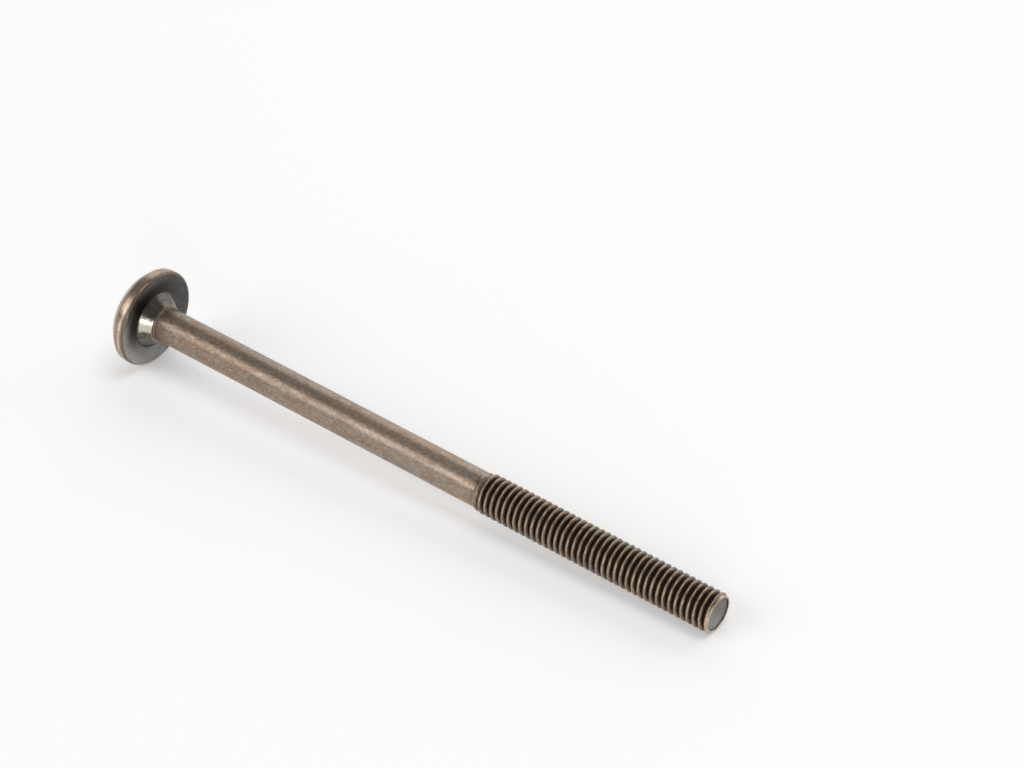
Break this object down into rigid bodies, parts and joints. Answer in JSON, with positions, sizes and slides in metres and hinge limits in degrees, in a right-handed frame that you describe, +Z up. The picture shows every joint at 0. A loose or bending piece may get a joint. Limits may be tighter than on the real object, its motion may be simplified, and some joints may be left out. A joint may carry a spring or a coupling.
{
  "type": "furniture screw",
  "caption": "Long metric furniture connector screw with a flat chamfered round head, hexagon key socket, conical neck, plain shank and threaded end.",
  "frame": {"origin": "on the surface the screw lies on, under the middle of its box", "axes": "+X from the head towards the tip, which dips by 2.6 degrees because the head is wider than the thread; +Z up"},
  "size_m": [0.1032, 0.015, 0.015],
  "materials": {
    "antique_bronze_steel": "antique bronze plated steel, satin, worn on edges and crests"
  },
  "bodies": {
    "root": {"furniture_screw": "antique_bronze_steel"}
  },
  "joints": []
}
